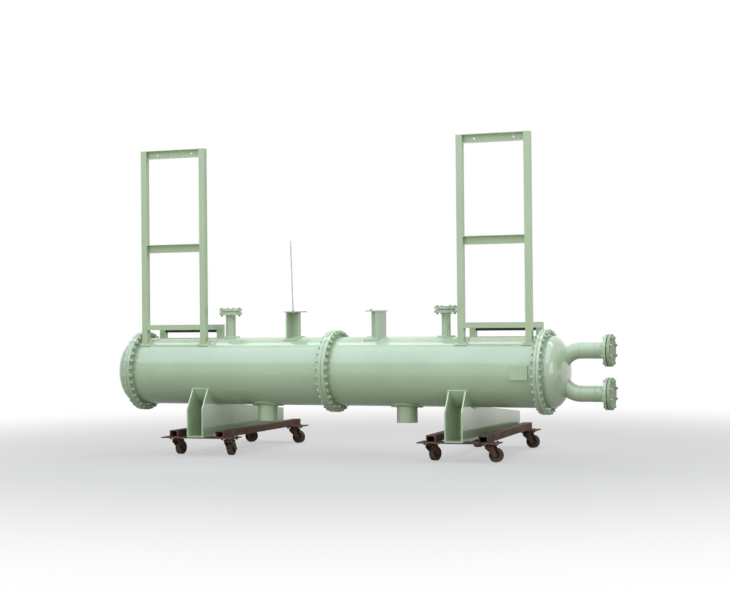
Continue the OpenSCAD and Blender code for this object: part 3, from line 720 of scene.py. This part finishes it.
def nozzle_welds():
    """Beads round the pads, pipes and flanges of all nozzles."""
    build = Builder()
    for side, pipe_r in TOP_PIPE_R.items():
        low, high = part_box(side + "_top_nozzle")
        x = (low.x + high.x) / 2
        bead(build, ring_on_shell(x, pipe_r + TOP_PAD_RIM, SHELL_R + LIFT), SEAM_R, closed=True)
        bead(build, ring_on_shell(x, pipe_r + LIFT, PAD_R), FILLET_R * THIN, closed=True)
        place = (x, AXIS_Y, high.z - TOP_JOINT["flange_t"])
        bead(build, circle_places(place, (0, 0, 1), pipe_r + LIFT, RING_STEPS), SEAM_R, closed=True)
        low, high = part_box(side + "_bottom_nozzle")
        x, pad_r = (low.x + high.x) / 2, (high.x - low.x) / 2
        bead(build, ring_on_shell(x, pad_r, SHELL_R + LIFT, -1, BOTTOM_STEPS), SEAM_R, closed=True)
        bead(build, ring_on_shell(x, BOTTOM_PIPE_R, PAD_R, -1), FILLET_R * THIN, closed=True)
    flange_t = HEAD_JOINT["flange_t"]
    for side in ("upper", "lower"):
        x, y, z = head_joint_place(side)
        for out, radius in ((flange_t + LIFT, FILLET_R), (flange_t + NECK_SEAM, SEAM_R * FINE),
                            (BEND_SEAM, SEAM_R * FINE)):
            ring = circle_places((x - out, y, z), (1, 0, 0), HEAD_PIPE_R, RING_STEPS)
            bead(build, ring, radius, closed=True)
    build.piece("nozzle_welds", GREEN)


def frame_welds(side):
    """Beads round the pads and feet of a ladder frame and at the ends of its bars."""
    build = Builder()
    low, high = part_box(side + "_ladder_frame")
    foot_out = math.asin((FRAME_FRONT + FOOT_RIM) / PAD_R)
    foot_in = math.asin((FRAME_FRONT - POST - FOOT_RIM) / PAD_R)
    for x in (low.x, high.x - POST):
        pad_low, pad_high = x + POST / 2 - FOOT_LENGTH / 2, x + POST / 2 + FOOT_LENGTH / 2
        for sign in (-1, 1):
            a0, a1 = sorted((sign * foot_in, sign * foot_out))
            bead(build, pad_outline(pad_low, pad_high, a0, a1, SHELL_R + LIFT), SEAM_R, closed=True)
            y0, y1 = sorted((sign * FRAME_FRONT, sign * (FRAME_FRONT - POST)))
            bead(build, foot_outline(x, x + POST, y0, y1, PAD_R), SEAM_R, closed=True)
    front = AXIS_Y - FRAME_FRONT
    for x in (low.x + POST, high.x - POST):
        for top, height, depth in ((high.z, BAR_H, BAR_D), (AXIS_Z + MID_BAR_TOP, BAR_H, BAR_D),
                                   (AXIS_Z + BASE_BAR_TOP, BASE_BAR_H, BASE_BAR_D)):
            near, far, bottom = front + BAR_WELD_IN, front + depth, top - height
            line = line_points((x, near, top), (x, far, top))
            line += line_points((x, far, top), (x, far, bottom))[1:]
            line += line_points((x, far, bottom), (x, near, bottom))[1:]
            bead(build, line, SEAM_R * THIN)
    build.piece(side + "_frame_welds", GREEN_FRAME)


def bracket_welds(side, sign):
    """Beads round the pad of a top bracket and along its upright plate and rib."""
    build = Builder()
    low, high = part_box(side + "_top_bracket")
    wrap = math.asin((BRACKET_HALF + BRACKET_PAD_RIM) / PAD_R)
    bead(build, pad_outline(low.x, high.x, -wrap, wrap, SHELL_R + LIFT), SEAM_R, closed=True)
    middle, reach = (low.x + high.x) / 2, sign * (BRACKET_TOP_HALF - BRACKET_EDGE)
    inner, outer = middle - reach, middle + reach
    plate_face = outer - sign * BRACKET_PLATE_T
    upright = math.asin(BRACKET_WELD_HALF / PAD_R)
    for x in (outer, plate_face):
        bead(build, arc_points(x, -upright, upright, PAD_R, BRACKET_STEPS), SEAM_R)
    for y in (AXIS_Y - BRACKET_PLATE_T / 2, AXIS_Y + BRACKET_PLATE_T / 2):
        for z, radius in ((AXIS_Z + PAD_R, SEAM_R), (high.z - BRACKET_TOP_T, SEAM_R * FINE)):
            bead(build, line_points((inner, y, z), (plate_face, y, z)), radius)
    build.piece(side + "_bracket_welds", GREEN)


def saddle_welds(side):
    """Beads along the saddle pad edge, the web tops and the foot of each web."""
    build = Builder()
    low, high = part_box(side + "_saddle_pad")
    edge = pad_outline(low.x, high.x, math.pi - SADDLE_PAD_WRAP, math.pi + SADDLE_PAD_WRAP, SHELL_R + LIFT)
    bead(build, edge, SEAM_R, closed=True)
    low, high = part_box(side + "_saddle")
    start, end = math.pi - SADDLE_WRAP, math.pi + SADDLE_WRAP
    for x in (low.x, high.x, low.x + SADDLE_PLATE_T, high.x - SADDLE_PLATE_T):
        bead(build, arc_points(x, start, end, SADDLE_R, SADDLE_STEPS), SEAM_R)
    inside = SADDLE_PLATE_T + LIFT
    front, back, z = low.y + WEB_WELD_FRONT, high.y - WEB_WELD_BACK, low.z + inside
    for x in (low.x + inside, high.x - inside):
        bead(build, line_points((x, front, z), (x, back, z), WEB_STEP), SEAM_R)
    build.piece(side + "_saddle_welds", GREEN_SADDLE_LIGHTENED)


shell_welds()
nozzle_welds()
for side, sign in (("left", -1), ("right", 1)):
    frame_welds(side)
    bracket_welds(side, sign)
    saddle_welds(side)


# Small things on the frames and brackets

# The black strip, and the rod with its nuts: the rod reaches this far below and above the plate's top
STRIP_IN, STRIP_H, STRIP_ROUND = 3 * MM, 22 * MM, 2.5 * MM
ROD_R, ROD_TIP_R, ROD_TIP, ROD_BELOW, ROD_TOP = 4.5 * MM, 3.2 * MM, 4 * MM, 22 * MM, 530 * MM
ROD_LEAN = (-0.030, 0.0, 1)
ROD_SIDES, ROD_FLATS, ROD_NUT_H = 16, 16 * MM, 8 * MM
STUD_FLATS = 17 * MM

# Places on the top plates: the rod's from the plate's middle, the stud's from its left edge and the axis
ROD_PLACE, STUD_PLACE = (-4 * MM, -40 * MM), (24 * MM, -30 * MM)


def rounded_bar(build, low, high, edge, parts=12, edge_parts=3):
    """A bar with rounded long edges, along X."""
    y0, y1, z0, z1 = low[1], high[1], low[2], high[2]
    section = []
    for cy, cz, start in ((y1 - edge, z1 - edge, 0), (y0 + edge, z1 - edge, 90), (y0 + edge, z0 + edge, 180),
                          (y1 - edge, z0 + edge, 270)):
        for k in range(edge_parts + 1):
            a = math.radians(start + 90 * k / edge_parts)
            section.append((cy + edge * math.cos(a), cz + edge * math.sin(a)))
    xs = [low[0] + (high[0] - low[0]) * i / parts for i in range(parts + 1)]
    build.rings([[(x, y, z) for y, z in section] for x in xs])


def black_strip(side):
    """Black strip below the rear base bar of a ladder frame, between its posts."""
    low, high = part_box(side + "_ladder_frame")
    under = AXIS_Z + BASE_BAR_TOP - BASE_BAR_H
    back = AXIS_Y + FRAME_FRONT
    build = Builder()
    rounded_bar(build, (low.x + POST, back - BASE_BAR_D + STRIP_IN, under - STRIP_H),
                (high.x - POST, back - STRIP_IN, under), STRIP_ROUND)
    build.piece(side + "_frame_black_strip", BLACK)


def thin_rod():
    """Thin pale rod that stands on the left bracket, held by a nut on each side of the plate."""
    low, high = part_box("left_top_bracket")
    foot = Vector(((low.x + high.x) / 2 + ROD_PLACE[0], AXIS_Y + ROD_PLACE[1], high.z))
    build = Builder()
    build.lathe([(ROD_R, -ROD_BELOW), (ROD_R, ROD_TOP - ROD_TIP), (ROD_TIP_R, ROD_TOP)], ROD_SIDES,
                along(Vector(ROD_LEAN).normalized(), foot))
    nut(build, along((0, 0, 1), foot), ROD_FLATS, ROD_NUT_H)
    nut(build, along((0, 0, -1), foot - Vector((0, 0, BRACKET_TOP_T))), ROD_FLATS, ROD_NUT_H)
    build.piece("bracket_rod", ZINC)


def plate_stud():
    """Short stud with a nut on the right bracket."""
    low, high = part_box("right_top_bracket")
    place = Vector((low.x + STUD_PLACE[0], AXIS_Y + STUD_PLACE[1], high.z))
    build = Builder()
    fastener(build, place, (0, 0, 1), STUD_FLATS)
    build.piece("right_bracket_stud", GREEN_BOLTS)


black_strip("left")
black_strip("right")
thin_rod()
plate_stud()


# Casters and dollies

# Sizes of the solids
CASTER_PLATE_T, CROSS_T, CROSS_TOP = 5 * MM, 8 * MM, 140 * MM
ARM_FACE, CROWN_LOW = 32 * MM, 108 * MM
RAIL_OUT, RAIL_EDGE = 190 * MM, 34 * MM
CROSS_FROM, CROSS_TO = 560 * MM, 733 * MM

# Degrees that each dolly stands turned under its saddle
TURNS = {"left": 1.0, "right": 3.5}

# Sizes of the bolts, nuts and beads
PLATE_BOLT_X, PLATE_BOLT_Y, PLATE_FLATS = 42 * MM, 38 * MM, 15 * MM
AXLE_FLATS, AXLE_NUT_H = 18 * MM, 8 * MM
AXLE_WASHER_R, AXLE_WASHER_HOLE, AXLE_WASHER_T = 11 * MM, 6.5 * MM, 1.2 * MM
KING_FLATS, KING_NUT_H = 20 * MM, 7 * MM
ROUGH_BEAD_R, ROUGH_RIPPLE = 3 * MM, 0.25


def caster_bolts(name, king):
    """Bolts through a caster plate and the cross plate. The upper heads show only outside the rail."""
    build = Builder()
    turn = Matrix.Rotation(math.radians(TURNS[name.split("_")[0]]), 4, "Z")
    outer = 1 if name.endswith("b") else -1
    for sx in (-1, 1):
        for sy in (-1, 1):
            offset = turn @ Vector((sx * PLATE_BOLT_X, sy * PLATE_BOLT_Y, 0))
            top = Vector((king.x, king.y, CROSS_TOP)) + offset
            if sx == outer:
                fastener(build, top, (0, 0, 1), PLATE_FLATS, "bolt")
            fastener(build, top - Vector((0, 0, CROSS_T + CASTER_PLATE_T)), (0, 0, -1), PLATE_FLATS)
    build.piece("caster_bolts_" + name, RUST, slot="rusty_steel")


def fork_nuts(name, king, axle, direction):
    """Axle nuts and the king pin nut, on the swivelling fork."""
    build = Builder()
    for sign in (-1, 1):
        seat = along(direction * sign, axle + direction * sign * ARM_FACE)
        washer(build, seat, AXLE_WASHER_R, AXLE_WASHER_HOLE, AXLE_WASHER_T)
        nut(build, seat @ Matrix.Translation((0, 0, AXLE_WASHER_T)), AXLE_FLATS, AXLE_NUT_H)
    nut(build, along((0, 0, -1), (king.x, king.y, CROWN_LOW + LIFT)), KING_FLATS, KING_NUT_H)
    build.piece("fork_nuts_" + name, RUST, body="swivel_" + name, slot="rusty_steel")


def dolly_welds(side):
    """Beads where the rails stand on the cross plates."""
    build = Builder()
    low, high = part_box(side + "_dolly_frame")
    middle = (low + high) / 2
    turn = Matrix.Rotation(math.radians(TURNS[side]), 4, "Z")
    for sx in (-1, 1):
        for out in (-RAIL_EDGE, RAIL_EDGE):
            for sy in (-1, 1):
                ends = [Vector((sx * RAIL_OUT + out, sy * y, 0)) for y in (CROSS_FROM, CROSS_TO)]
                ends = [turn @ end + Vector((middle.x, middle.y, CROSS_TOP + LIFT)) for end in ends]
                bead(build, line_points(*ends), ROUGH_BEAD_R, ripple=ROUGH_RIPPLE)
    build.piece(side + "_dolly_welds", RUST, slot="rusty_steel")


joints = {joint["name"]: joint for joint in frame["joints"]}
for joint_name, joint in joints.items():
    if joint_name.startswith("swivel_"):
        name = joint_name[len("swivel_"):]
        king = Vector(joint["pos_m"])
        roll = joints["roll_" + name]
        caster_bolts(name, king)
        fork_nuts(name, king, Vector(roll["pos_m"]), Vector(roll["axis"]).normalized())
dolly_welds("left")
dolly_welds("right")


# Camera, world, floor and lights

# The photograph's viewing angle, from a fit to the object's own edges, and its width in pixels
CAMERA_PLACE = (4.529, -10.865, 1.031)
TURN_LEFT, TILT_UP, ROLL = 0.3764, 0.0104, -0.0099
FOCAL_PIXELS, PHOTO_WIDTH = 1584.4, 730
SENSOR_WIDTH = 36
FAR_CLIP = 200

# Sky colours by height, from the horizon to straight up
SKY = 0.55
SKY_BANDS = [(0.00, (0.30, 0.33, 0.28)), (0.30, (0.40, 0.43, 0.37)), (0.42, (0.62, 0.67, 0.64)),
             (0.70, (0.74, 0.84, 0.86)), (1.00, (0.86, 0.97, 1.00))]

# The floor, the distances over which it fades, and how white it is to the camera and in mirrors near the unit
FLOOR_HALF = 60
FLOOR_COLOUR = (0.26, 0.25, 0.23)
FADE_FROM, FADE_TO = 2.0, 6.5
NEAR_WHITE, NEAR_WHITE_MIRRORED = 0.50, 0.08
WHITE = (1, 1, 1)


def set_camera():
    """The camera, placed from the unit's middle joint and axis."""
    ahead = Vector((-math.sin(TURN_LEFT) * math.cos(TILT_UP), math.cos(TURN_LEFT) * math.cos(TILT_UP),
                    math.sin(TILT_UP)))
    right = Vector((math.cos(TURN_LEFT), math.sin(TURN_LEFT), 0))
    upward = right.cross(ahead)
    rolled_right = right * math.cos(ROLL) + upward * math.sin(ROLL)
    rolled_up = upward * math.cos(ROLL) - right * math.sin(ROLL)
    data = bpy.data.cameras.new("camera")
    data.sensor_width = SENSOR_WIDTH
    data.sensor_fit = "HORIZONTAL"
    data.lens = SENSOR_WIDTH * FOCAL_PIXELS / PHOTO_WIDTH
    data.clip_end = FAR_CLIP
    camera = bpy.data.objects.new("camera", data)
    bpy.context.scene.collection.objects.link(camera)
    turned = Matrix((rolled_right, rolled_up, -ahead)).transposed().to_4x4()
    camera.matrix_world = Matrix.Translation(Vector(CAMERA_PLACE) + Vector((MID_X, AXIS_Y, 0))) @ turned
    bpy.context.scene.camera = camera


def set_world():
    """Soft sky: dim at the horizon, pale blue above, white to the camera and in mirrors."""
    world = bpy.data.worlds.new("studio")
    world.use_nodes = True
    bpy.context.scene.world = world
    world.node_tree.nodes.clear()
    t = Tree(world.node_tree)
    sky = t.ramp(t.upward(t.new("ShaderNodeTexCoord").outputs["Generated"]), SKY_BANDS)
    shades = []
    for colour, strength in ((sky, SKY), (WHITE, 1.0)):
        shade = t.new("ShaderNodeBackground")
        t.feed(shade.inputs["Color"], colour)
        t.feed(shade.inputs["Strength"], strength)
        shades.append(shade.outputs["Background"])
    path = t.new("ShaderNodeLightPath")
    direct = t.math("MAXIMUM", path.outputs["Is Camera Ray"], t.mirror_rays(path))
    out = t.new("ShaderNodeOutputWorld")
    t.link(t.blend(direct, *shades), out.inputs["Surface"])


def set_floor():
    """Pale floor that keeps the shadow and fades to white with distance."""
    s = FLOOR_HALF
    mesh = bpy.data.meshes.new("floor")
    mesh.from_pydata([(-s, -s, 0), (s, -s, 0), (s, s, 0), (-s, s, 0)], [], [[0, 1, 2, 3]])
    floor = bpy.data.objects.new("floor", mesh)
    bpy.context.scene.collection.objects.link(floor)
    m = Surface("pale_floor")
    m.set(colour=FLOOR_COLOUR, rough=0.9, specular=0.2)
    glow = m.new("ShaderNodeEmission")
    m.feed(glow.inputs["Color"], WHITE)
    m.feed(glow.inputs["Strength"], 1.0)
    far = m.new("ShaderNodeVectorMath", operation="LENGTH")
    m.link(m.place, far.inputs[0])
    path = m.new("ShaderNodeLightPath")
    parts = []
    for rays, near in ((path.outputs["Is Camera Ray"], NEAR_WHITE),
                       (m.mirror_rays(path), NEAR_WHITE_MIRRORED)):
        fade = m.new("ShaderNodeMapRange", interpolation_type="SMOOTHSTEP")
        for socket, value in (("From Min", FADE_FROM), ("From Max", FADE_TO), ("To Min", near)):
            fade.inputs[socket].default_value = value
        m.link(far.outputs["Value"], fade.inputs["Value"])
        parts.append(m.times(rays, fade.outputs["Result"]))
    seen = m.math("MAXIMUM", *parts)
    whole = m.blend(seen, m.shader.outputs["BSDF"], glow.outputs["Emission"])
    m.link(whole, m.tree.nodes["Material Output"].inputs["Surface"])
    mesh.materials.append(m.material)


def area_light(name, place, target, size, power, colour, mirrored=True):
    """A rectangular lamp that looks at a target. mirrored says if shiny surfaces show it."""
    data = bpy.data.lights.new(name, "AREA")
    data.shape = "RECTANGLE"
    data.size, data.size_y = size
    data.energy = power
    data.color = colour
    lamp = bpy.data.objects.new(name, data)
    bpy.context.scene.collection.objects.link(lamp)
    lamp.visible_glossy = mirrored
    lamp.location = place
    lamp.rotation_euler = (Vector(target) - Vector(place)).to_track_quat("-Z", "Y").to_euler()


set_camera()
set_world()
set_floor()
area_light("key", place=(-0.6, 3.6, 5.2), target=(0, -0.4, 0.6), size=(2.4, 1.8), power=160,
           colour=(1.0, 0.98, 0.94), mirrored=False)
area_light("strip", place=(0, 1.0, 6.2), target=(0, -0.4, 0.6), size=(10, 1.3), power=125,
           colour=(0.86, 0.96, 1.0))
area_light("overhead", place=(0, -3.0, 5.0), target=(0, -0.4, 0.8), size=(12, 6), power=440,
           colour=(0.71, 0.77, 1.0))
area_light("front_fill", place=(-0.6, -8.0, 1.8), target=(-0.3, 0, 0.8), size=(9, 2.5), power=225,
           colour=(1.0, 0.98, 0.90), mirrored=False)
area_light("right_fill", place=(6.5, -2.5, 1.6), target=(0, 0, 0.6), size=(3, 2.4), power=52,
           colour=(1.0, 0.99, 0.96))

bpy.context.scene.view_settings.view_transform = "Standard"
